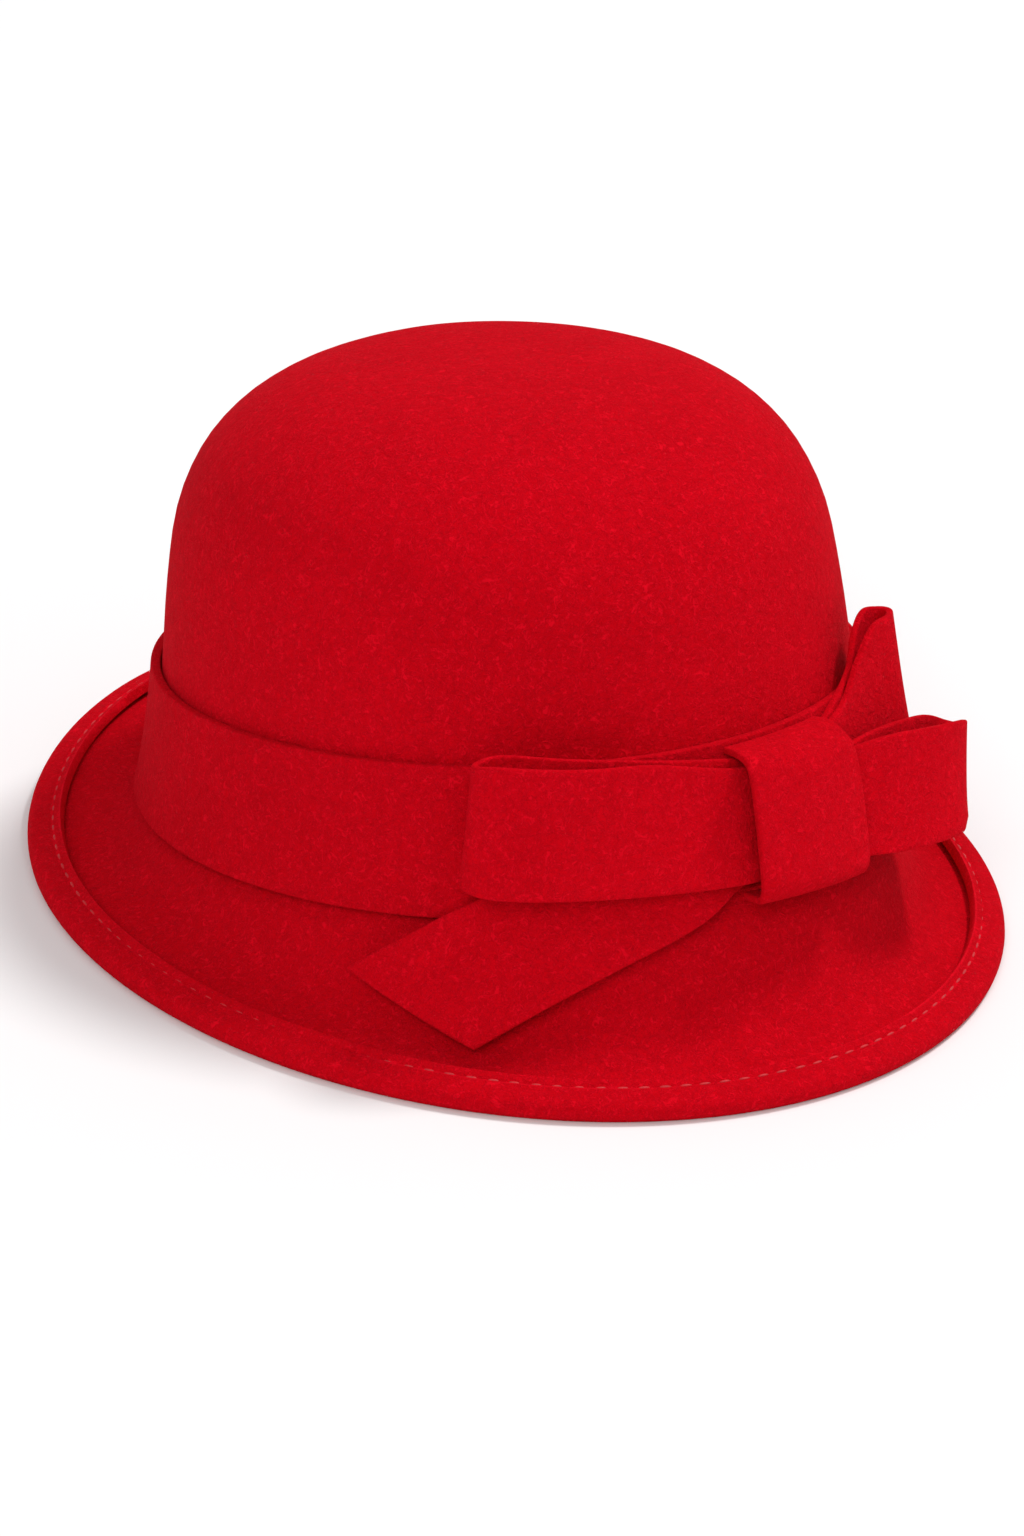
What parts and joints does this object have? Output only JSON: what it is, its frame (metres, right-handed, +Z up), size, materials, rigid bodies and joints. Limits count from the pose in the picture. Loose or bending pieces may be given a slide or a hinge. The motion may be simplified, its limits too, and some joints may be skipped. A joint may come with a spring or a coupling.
{
  "type": "cloche hat",
  "caption": "Cloche hat in felt with a round crown, a sloping brim with a turned-up stitched edge, and a felt band tied in a flat bow.",
  "frame": {"origin": "middle of the brim's outline, on the surface the hat rests on", "axes": "+Z up, -Y towards the front of the hat, +X towards the wearer's left, the side the bow's knot sits on"},
  "size_m": [0.2432, 0.2602, 0.1374],
  "materials": {
    "body_felt": "matt wool felt",
    "band_felt": "matt wool felt",
    "bow_felt": "matt wool felt"
  },
  "bodies": {
    "root": {"felt_body": "body_felt", "hat_band": "band_felt", "bow_left_loop": "bow_felt", "bow_right_loop": "bow_felt", "bow_upper_loop": "bow_felt", "bow_knot": "bow_felt", "bow_tail": "bow_felt"}
  },
  "joints": []
}
